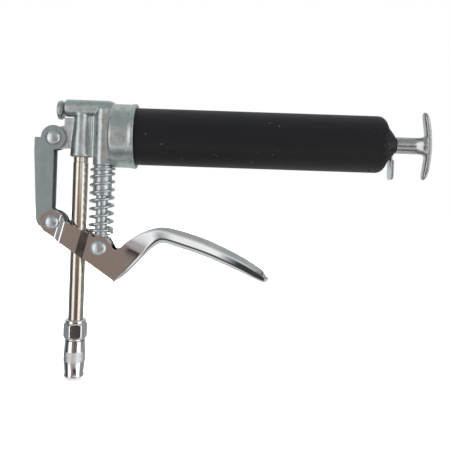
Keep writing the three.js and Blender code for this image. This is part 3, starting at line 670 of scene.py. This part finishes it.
def make_end_cap():
    """A cone with a plug that fits the barrel's opening, and a slot across it for the latch."""
    face_r, shoulder_r, nose_r, bore_r = 13.95, 7.4, 6.6, 4.7
    profile = rounded([
        (bore_r, CAP_START), (face_r, CAP_START), (face_r, CAP_START + 2.1, 0.3),
        (shoulder_r, CAP_END - 0.3, 0.5), (nose_r, CAP_END, 0.15), (bore_r, CAP_END, 0.15)])
    cap = build("rear_cap", [turned(profile, "x", sides=160, closed=True)], 40)
    slot = build("slot_cutter", [block((206.2, 208.5), (-4.4, 4.4), (-30, 6.8))])
    combine(cap, slot, "DIFFERENCE", 40)
    bevel(cap, 0.12, 2, 50, 30)
    dress(cap, "black_coat", "gun", "end_cap")


def make_bushing():
    low, high = span("rod_bushing")
    step, neck_r, lip_r = CAP_END + 0.1, 4.5, 5.4
    ring = build("bushing", [turned(rounded([
        (ROD_HOLE_R, low.x), (neck_r, low.x), (neck_r, step), (lip_r, step, 0.15), (lip_r, high.x, 0.2),
        (ROD_HOLE_R, high.x)]), "x", closed=True)])
    dress(ring, "black_rubber", "gun", "rod_bushing")


def make_latch():
    """A strip folded back on itself into a narrow U, with the corners of the fold rounded."""
    low, high = span("latch_plate")
    half, thick, corner, tab = high.y, 0.8, 3.0, -10
    fold = (high.x - low.x) / 2
    centre, level = low.x + fold, low.z + fold
    outside, inside = bow(centre, level, fold, 180, 360, 16), bow(centre, level, fold - thick, 360, 180, 12)
    outline = [(low.x, high.z), (low.x, level), *outside, (high.x, tab), (high.x - thick, tab), *inside,
               (low.x + thick, high.z)]
    plate = build("latch", [prism(outline, -half, half)])
    front = [(-half, high.z + 1), *bow(corner - half, low.z + corner, corner, 180, 270, 10),
             *bow(half - corner, low.z + corner, corner, 270, 360, 10), (half, high.z + 1)]
    points, faces = prism(front, low.x - 1, high.x + 1)
    mould = build("latch_mould", [([(x, y, z) for y, x, z in points], faces)])
    combine(plate, mould, "INTERSECT")
    eye = build("latch_cutter", [turned(rod_profile(3.35, 204, 212), "x", sides=48)])
    combine(plate, eye, "DIFFERENCE")
    bevel(plate, 0.2)
    dress(plate, "bright_steel", "latch", "latch_plate")


# ---------- T-handle and follower ----------
def grip_rings(high):
    """Sections of the bar from its foot to its top: rounded rectangles that shrink at both ends."""
    half, thick, width, sweep = high.z, 3.8, 6.6, 2.9
    rings = []
    for i in range(61):
        along_bar = math.sin((i / 30 - 1) * math.pi / 2)
        fade = math.sqrt(max(0.004, 1 - abs(along_bar) ** 9))
        x = high.x - thick / 2 - sweep * along_bar ** 2
        ring = []
        for j in range(48):
            a = TAU * j / 48
            dx, dy = (math.copysign(abs(v) ** 0.62, v) for v in (math.cos(a), math.sin(a)))
            ring.append((x + thick / 2 * dx * fade, width / 2 * dy * fade, half * along_bar))
        rings.append(ring)
    return rings


def make_t_handle():
    """A curved bar on a round shank that narrows to the width of the bar where they meet."""
    low, high = span("t_handle")
    start, end, shank_r = low.x, 230.4, 5.5
    profile = rounded([
        (0, start), (shank_r, start, 0.3), (shank_r, end - 6, 1), (shank_r + 0.2, end - 1.5, 1),
        (7.2, end + 0.6, 0.5), (0, end + 1)])
    levels = [tuple(Vector(a).lerp(Vector(b), k / 12))
              for a, b in zip(profile, profile[1:]) for k in range(12)]
    points, faces = turned([*levels, profile[-1]], "x")
    points = [(x, y * (1 - 0.42 * smoothstep(x, end - 8, end)), z) for x, y, z in points]
    bar = build("t_grip", [loft(grip_rings(high)), (points, faces)])
    melt(bar, 0.22, 7)
    bore = build("grip_cutter", [turned(rod_profile(ROD_HOLE_R, start - 2, start + 12), "x", sides=48)])
    combine(bar, bore, "DIFFERENCE", 40)
    dress(bar, "cast_alloy", "handle", "t_handle")


def make_rod():
    low, high = span("follower_rod")
    r = 3
    rod = build("rod", [turned(rounded([
        (0, low.x), (r, low.x, 0.5), (r, high.x, 0.3), (0, high.x)]), "x", sides=64)])
    dress(rod, "bright_steel", "handle", "follower_rod")


def make_springs():
    """Both springs belong to the gun's body and are wound along the length of their CAD nodes."""
    low, high = SPRING_LOW.z, SPRING_HIGH.z
    spring = build("plunger_spring", [coil(*SPRING_COIL, low, high, SPRING_TURNS, "z", (PUMP_X, 0, 0))], 60)
    dress(spring, "bright_steel", "gun", "return_spring")
    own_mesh(spring)
    near, far = span("follower_spring")[0].x, span("follower_spring")[1].x
    winding = coil(*FOLLOWER_COIL, near, far, FOLLOWER_TURNS, "x", steps=24, sides=8)
    follower = build("barrel_spring", [winding], 60)
    dress(follower, "bright_steel", "gun", "follower_spring")
    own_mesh(follower)


def make_plunger():
    eye_half, rod_r, tip_r, tip = 3.4, 4, 3.4, -21
    foot, eye_r = PIN_PLUNGER.z, 5.6
    shaft = turned(rounded([
        (0, foot), (rod_r, foot), (rod_r, tip - 0.6), (tip_r, tip), (0, tip)]), "z", (PUMP_X, 0, 0), 64)
    pin = (PUMP_X, 0, foot)
    eye = turned(rounded([
        (0, -eye_half), (eye_r, -eye_half, 0.5), (eye_r, eye_half, 0.5), (0, eye_half)]), "y", pin, 64)
    plunger = build("plunger_rod", [shaft])
    combine(plunger, build("plunger_eye", [eye]), "UNION")
    hole = build("eye_cutter", [turned(rod_profile(PIN_HOLE_R, -9, 9), "y", pin, 48)])
    combine(plunger, hole, "DIFFERENCE")
    dress(plunger, "bright_steel", "plunger", "pump_plunger")


def make_seat():
    low, high = span("spring_seat")
    bore_r, r = 4.1, 6.6
    seat = build("seat_washer", [turned(rounded([
        (bore_r, low.z), (r, low.z, 0.2), (r, high.z, 0.2), (bore_r, high.z)]),
        "z", (PUMP_X, 0, 0), closed=True)])
    dress(seat, "bright_steel", "plunger", "spring_seat")


# ---------- link, lever and rivets ----------
def make_rivet(name, node, pin, half, head_r, body):
    """A pin with a low dome on both ends, which stand just clear of the sheets at half."""
    edge, dome, rim = half + 0.3, 2.0, 0.15
    crown = [(head_r * math.cos(math.radians(a)), edge + rim + (dome - rim) * math.sin(math.radians(a)))
             for a in range(0, 91, 6)]
    side = [(PIN_R, 0), (PIN_R, edge), (head_r - rim, edge), *crown]
    profile = [(r, -h) for r, h in reversed(side)] + side[1:]
    rivet = build(name, [turned(profile, "y", (pin.x, 0, pin.z), 72)], 50)
    settle(rivet, 50)
    dress(rivet, "bright_steel", body, node)


def make_link():
    """A channel: a sheet back on the left, two cheeks, and an ear at each end with a hole for the pin."""
    a, b = PIN_HEAD, PIN_LINK
    back, back_low, edge = -30.0, -27.5, -17.2
    side = [(back, -2.8), (a.x - 8.2, -2.8), *bow(a.x, a.z, 8.2, 180, -90, 40), (edge, a.z - 8.4),
            (edge, b.z + 9), *bow(b.x, b.z, 8, 85, -135, 30),
            *bow(back_low + 8, b.z + 3, 8, -128, -180, 10), (back, -12)]
    link = build("link", [prism(side, -LINK_HALF, LINK_HALF)])
    web = [(-40, 20), (back + SHEET, 20), (back + SHEET, -12), (back_low + SHEET, b.z + 3),
           (back_low + SHEET, b.z + 2), (-40, b.z + 2)]
    hollow = build("link_hollow", [block((-60, 20), (SHEET - LINK_HALF, LINK_HALF - SHEET), (-90, 30))])
    combine(hollow, build("link_web", [prism(web, -9, 9)]), "DIFFERENCE")
    combine(link, hollow, "DIFFERENCE")
    for pin, r in ((a, PIN_HOLE_R), (b, OPEN_HOLE_R)):
        hole = build("link_hole", [turned(rod_profile(r, -20, 20), "y", (pin.x, 0, pin.z), 64)])
        combine(link, hole, "DIFFERENCE")
    bevel(link, 0.35, 3)
    dress(link, "zinc_plate", "link", "toggle_link")


# Stations along the handle: a point under its floor, the rim point above it, half width at the rim, the lean
# of the wall in degrees, and the radius of the fold between wall and floor.
HANDLE = [
    ((25.6, -97.4), (25.7, -76.2), 6.9, 0, 1.2),
    ((33.8, -91.6), (28.8, -74.8), 6.9, 0, 3),
    ((43.9, -80.8), (33.8, -70.4), 7.3, 11, 3.5),
    ((49.1, -75.4), (40.3, -66.4), 8.0, 17, 4.8),
    ((54.0, -71.7), (48.9, -62.8), 8.6, 20, 5.4),
    ((58.8, -70.9), (57.5, -62.1), 9.4, 20, 6),
    ((69.0, -73.5), (71.5, -65.1), 11.0, 20, 6.4),
    ((82.3, -77.3), (85.2, -69.4), 12.4, 20, 6.4),
    ((95.5, -82.0), (98.4, -75.0), 13.6, 23, 6.2),
    ((108.7, -87.3), (111.0, -81.2), 14.4, 28, 5),
    ((117.4, -91.0), (119.2, -86.0), 14.6, 30, 3.6),
    ((123.8, -93.5), (125.0, -89.6), 14.5, 30, 3.0),
]
# The floor curls up into a low front wall over TIP_CURL, and the corners round off over TIP_CORNER.
# TWIST lifts the far rim above the mean and lowers the near one.
TIP_CURL, TIP_CORNER, TIP_STEPS, TWIST = 2.6, 4, 10, 0.7


def handle_rows(steps=12):
    """The stations joined by a smooth curve, then rows set closer and closer up to the tip."""
    rows = curve_through([(*foot, *rim, half, lean, fold) for foot, rim, half, lean, fold in HANDLE], steps)
    last, before = rows[-1], rows[-2]
    ahead = Vector((last[0] - before[0], last[1] - before[1])).normalized()
    for k in range(1, TIP_STEPS + 1):
        x, z = ahead * TIP_CURL * math.sin(math.radians(90 * k / TIP_STEPS))
        rows.append((last[0] + x, last[1] + z, last[2] + x, last[3] + z, *last[4:]))
    return rows


def swell(left, reach, height):
    """How far a quarter ellipse, reach long and height tall, has risen at a distance left from its end."""
    return height * (1 - math.sqrt(1 - max(0, 1 - left / reach) ** 2))


def half_section(half, tall, tilt, fold, wall_steps=12, fold_steps=9, floor_steps=6):
    """Half a section as (out, up) points: down the wall, round the fold and in along the floor."""
    fold_top = fold * (1 - math.sin(tilt))
    wall_foot = half - (tall - fold_top) * math.tan(tilt)
    centre = max(0.2, wall_foot - fold * math.cos(tilt))
    section = [(half + (wall_foot - half) * k / wall_steps, tall + (fold_top - tall) * k / wall_steps)
               for k in range(wall_steps)]
    for k in range(fold_steps + 1):
        a = tilt + (math.pi / 2 - tilt) * k / fold_steps
        section.append((centre + fold * math.cos(a), fold - fold * math.sin(a)))
    return section + [(centre * (1 - k / floor_steps), 0) for k in range(1, floor_steps)]


def handle_rings():
    """The handle's outer skin, an open section per ring: near rim, under the floor and up to the far rim."""
    rows = handle_rows()
    rings = []
    for i, (x, z, rim_x, rim_z, half, lean, fold) in enumerate(rows):
        tall = math.hypot(rim_x - x, rim_z - z)
        left = math.hypot(rows[-1][0] - x, rows[-1][1] - z)
        curl = swell(left, TIP_CURL, tall - 0.4)
        half -= swell(left, TIP_CORNER, TIP_CORNER)
        x, z = x + (rim_x - x) * curl / tall, z + (rim_z - z) * curl / tall
        tall -= curl
        up = ((rim_x - x) / tall, (rim_z - z) / tall)
        section = half_section(half, tall, math.radians(lean), min(fold, tall * 0.8))
        whole = [(-y, h) for y, h in section] + [(0, 0)] + [(y, h) for y, h in reversed(section)]
        twist = TWIST * smoothstep(i / (len(rows) - 1 - TIP_STEPS), 0.35, 0.5)
        rings.append([(x + up[0] * h, y, z + up[1] * h + twist * y / half * h / tall) for y, h in whole])
    return rings


def cheek_outline(wall):
    """The cheek from the side: an ear round the link rivet, an eye round the plunger rivet, and a corner."""
    b, c = PIN_LINK, PIN_PLUNGER
    corner = curve_through([wall[0], (24.3, -75.4), (23.2, -73.4)], 6)[1:]
    under = curve_through([(-21, -65), (-17.6, -67), (-14.6, -69), (-11.4, -71.8), (-9, -73)], 5)
    over = [(9.6, -66.5), (8.3, -66.3), (7.9, -65.2), (3.2, -63.0), (-6.4, -58.5)]
    return [*reversed(wall), *corner, *bow(c.x, c.z, 8, 16, 116, 28), *over,
            *bow(b.x, b.z, 7.9, 8, 216, 50), *under]


def across_cheek(x, z):
    """The distance across the leaned bends, measured from the point (0, BEND_LEVEL)."""
    return x * math.cos(LEAN) - (z - BEND_LEVEL) * math.sin(LEAN)


def ramp(u, low, high, blend=0.7):
    """A straight rise from 0 to 1 with a small fillet at its foot and its head."""
    def soft(v):
        return blend * math.log1p(math.exp(v / blend * 4)) / 4 if v < 9 else v
    return (soft(u - low) - soft(u - high)) / (high - low)


def joggle(x, z):
    """How far out the cheek stands: it steps out round the outlet pipe between two leaned bends."""
    u = across_cheek(x, z)
    return LEVER_HALF + (LEVER_BULGE - LEVER_HALF) * (ramp(u, *BEND_OUT) - ramp(u, *BEND_IN))


def cheek_sheet(wall):
    """The near cheek as a flat sheet cut finely across its bends, then pressed into shape."""
    made = bmesh.new()
    made.faces.new([made.verts.new((x, 0, z)) for x, z in cheek_outline(wall)])
    across = Vector((math.cos(LEAN), 0, -math.sin(LEAN)))
    step, margin = 0.4, 0.5
    for k in range(-52, 53):
        u = k * step
        bends = any(low - margin < u < high + margin for low, high in (BEND_OUT, BEND_IN))
        if bends or k % 8 == 0:
            bmesh.ops.bisect_plane(made, geom=made.verts[:] + made.edges[:] + made.faces[:], dist=1e-5,
                                   plane_co=Vector((0, 0, BEND_LEVEL)) + across * u, plane_no=across)
    bmesh.ops.triangulate(made, faces=[f for f in made.faces if len(f.verts) > 4])
    index = {v: i for i, v in enumerate(made.verts)}
    points = [(v.co.x, -joggle(v.co.x, v.co.z), v.co.z) for v in made.verts]
    faces = [tuple(index[v] for v in f.verts) for f in made.faces]
    made.free()
    return points, faces


def make_lever():
    rings = handle_rings()
    n = len(rings[0])
    points = [p for ring in rings for p in ring]
    faces = [(i * n + j, i * n + j + 1, (i + 1) * n + j + 1, (i + 1) * n + j)
             for i in range(len(rings) - 1) for j in range(n - 1)]
    wall = [(x, z) for x, y, z in rings[0] if y < -LEVER_HALF + 0.01]
    near, cheek_faces = cheek_sheet(wall)
    far = [(x, -y, z) for x, y, z in near]
    lever = build("squeeze_lever", [(points, faces), (near, cheek_faces), (far, cheek_faces)], 30)
    graph = lever.modifiers.new("sheet", "SOLIDIFY")
    graph.thickness, graph.offset = SHEET * MM, -1
    graph.use_even_offset = True
    bake(lever)
    bevel(lever, 0.22, 3, 60, 30)
    dress(lever, "chrome", "lever", "lever")


# ---------- the rest of the CAD pieces keep their shape ----------
def dress_cad_nodes():
    slots = {s["node"]: s["material_slot"] for s in frame["record"]["subparts"]}
    for name, piece in frame["nodes"].items():
        if not piece.hide_render:
            piece.data.materials.clear()
            piece.data.materials.append(MATERIALS[slots[name]])
            soften(piece, 40)


# ---------- stage, light and camera ----------
class Sky(Nodes):
    """The same short hand for the world's nodes."""

    def __init__(self, world):
        world.use_nodes = True
        self.tree = world.node_tree
        self.tree.nodes.clear()
        direction = self.add("ShaderNodeTexCoord").outputs["Generated"]
        split = self.add("ShaderNodeSeparateXYZ")
        self.link(direction, split.inputs[0])
        self.x, self.y, self.z = (split.outputs[k] for k in "XYZ")

    def degrees(self, a, b):
        """The angle of (a, b), in degrees."""
        return self.maths("MULTIPLY", self.maths("ARCTAN2", a, b), 180 / math.pi)

    def bands(self, angle, stops):
        """Colours at angles from -180 to 180 degrees."""
        return self.ramp(self.levels(angle, -180, 180, 0, 1), [((a + 180) / 360, c) for a, c in stops])


def make_world():
    """A light tent seen in reflections: a warm dark patch behind the camera, white sheets beside it and
    a bright strip low in front, over a grey room. The camera itself sees plain white."""
    world = bpy.data.worlds.new("tent")
    bpy.context.scene.world = world
    sky = Sky(world)
    front = sky.maths("MULTIPLY", sky.y, -1)
    azimuth, tilt = sky.degrees(sky.x, front), sky.degrees(sky.z, front)
    elevation = sky.maths("MULTIPLY", sky.maths("ARCSINE", sky.z, 0), 180 / math.pi)
    grey, teal, dark, white = (0.33, 0.335, 0.34), (0.24, 0.28, 0.29), (0.05, 0.05, 0.06), (1.5, 1.5, 1.55)
    backdrop = (0.8, 0.82, 0.82)
    sides = sky.bands(azimuth, [
        (-180, backdrop), (-140, backdrop), (-118, teal), (-96, teal), (-90, dark), (-70, dark), (-64, grey),
        (-56, grey), (-50, white), (42, white), (76, white), (84, teal), (120, grey), (180, grey)])
    pale, cool, blush = (0.62, 0.66, 0.64), (0.36, 0.40, 0.40), (0.46, 0.43, 0.43)
    heights = sky.bands(tilt, [
        (-180, pale), (-84, pale), (-76, dark), (-62, dark), (-55, cool), (-50, (1.1, 1.1, 1.14)),
        (-44, (1, 1, 1.04)), (-36, blush), (0, blush), (20, cool), (88, cool), (104, pale), (180, pale)])
    across = sky.maths("ABSOLUTE", sky.x, 0)
    over = sky.maths("ABSOLUTE", sky.z, 0)
    steep = sky.maths("DIVIDE", over, sky.maths("ADD", sky.maths("ADD", over, across), 0.001))
    room = sky.mix(sky.levels(steep, 0.34, 0.52, 0, 1), sides, heights)

    centre_side, half_side, centre_level, half_level = 10.5, 33.5, -1, 23
    off_side = sky.maths("DIVIDE", sky.maths("SUBTRACT", azimuth, centre_side), half_side)
    off_level = sky.maths("DIVIDE", sky.maths("SUBTRACT", elevation, centre_level), half_level)
    square = sky.maths("ADD", sky.maths("POWER", off_side, 2), sky.maths("POWER", off_level, 2))
    away = sky.maths("SQRT", square, 0)
    legs = sky.bands(elevation, [
        (-19, (0.4, 0.37, 0.36)), (-16.5, (0.06, 0.05, 0.05)), (-13, (0.06, 0.045, 0.043)),
        (-7, (0.26, 0.22, 0.19)), (0, (0.3, 0.27, 0.25)), (5, (0.85, 0.84, 0.84)), (11, (0.9, 0.9, 0.9)),
        (16, (0.62, 0.6, 0.59))])
    coat = (0.28, 0.22, 0.188)
    person = sky.mix(sky.levels(azimuth, 0, 8, 0, 1), coat, legs)
    room = sky.mix(sky.levels(away, 0.94, 1.04, 0, 1), person, room)
    tent, plain = sky.add("ShaderNodeBackground"), sky.add("ShaderNodeBackground", Color=(1, 1, 1, 1))
    sky.link(room, tent.inputs["Color"])
    choose = sky.add("ShaderNodeMixShader")
    sky.link(sky.add("ShaderNodeLightPath").outputs["Is Camera Ray"], choose.inputs[0])
    sky.link(tent.outputs[0], choose.inputs[1])
    sky.link(plain.outputs[0], choose.inputs[2])
    sky.link(choose.outputs[0], sky.add("ShaderNodeOutputWorld").inputs["Surface"])


def make_stage():
    low = CAD_BOX[0]
    side, drop = 3.0, 0.002
    reach = side / MM
    corners = [(-reach, -reach, 0), (reach, -reach, 0), (reach, reach, 0), (-reach, reach, 0)]
    floor = build("floor", [(corners, [(0, 1, 2, 3)])])
    floor.location = (0, 0, low.z - HOME.z - drop)
    m = Nodes("floor_paper")
    fibre = m.noise(40, 4, 0.5)
    m.bumps((fibre, 0.05))
    paper = m.finish(m.ramp(fibre, [(0.3, (0.9, 0.9, 0.9)), (0.7, (0.93, 0.93, 0.93))]), 0.9, 0.0,
                     Emission_Color=(1, 1, 1, 1), Emission_Strength=0.6)
    floor.data.materials.append(paper)
    floor.visible_glossy = False
    lamp = bpy.data.lights.new("overhead", "AREA")
    lamp.shape, lamp.size, lamp.energy = "DISK", 2.4, 60
    sky = bpy.data.objects.new("overhead", lamp)
    sky.location = (0, 0.1, 1.6)
    sky.visible_glossy = False
    bpy.context.scene.collection.objects.link(sky)


def make_camera():
    """Level and square to the gun, close enough for some perspective, rolled a little anticlockwise."""
    foot, distance, roll = (84.1, -34.3), 346.6, math.radians(1.93)
    data = bpy.data.cameras.new("camera")
    camera = bpy.data.objects.new("camera", data)
    bpy.context.scene.collection.objects.link(camera)
    right = Vector((math.cos(roll), 0, math.sin(roll)))
    up = Vector((-math.sin(roll), 0, math.cos(roll)))
    place = Matrix((right, up, Vector((0, -1, 0)))).transposed().to_4x4()
    place.translation = HOME + Vector((foot[0], -distance, foot[1])) * MM
    camera.matrix_world = place
    data.sensor_width, data.lens = 36, 41.2
    data.shift_x, data.shift_y = 0.0444, -0.0778
    data.clip_start, data.clip_end = 0.01, 20
    bpy.context.scene.camera = camera


bpy.context.scene.view_settings.view_transform = "Standard"
make_camera()
make_world()
make_stage()
make_head()
make_plug()
make_pipe()
make_nut()
make_sleeve()
make_barrel()
make_end_cap()
make_bushing()
make_latch()
make_t_handle()
make_rod()
make_springs()
make_plunger()
make_seat()
make_link()
make_lever()
make_rivet("rivet_upper", "link_rivet_upper", PIN_HEAD, LINK_HALF, 5.0, "gun")
make_rivet("rivet_lower", "link_rivet_lower", PIN_LINK, LEVER_HALF, 4.8, "lever")
make_rivet("rivet_plunger", "plunger_rivet", PIN_PLUNGER, LEVER_HALF, 5.1, "lever")
dress_cad_nodes()

bpy.context.view_layer.update()
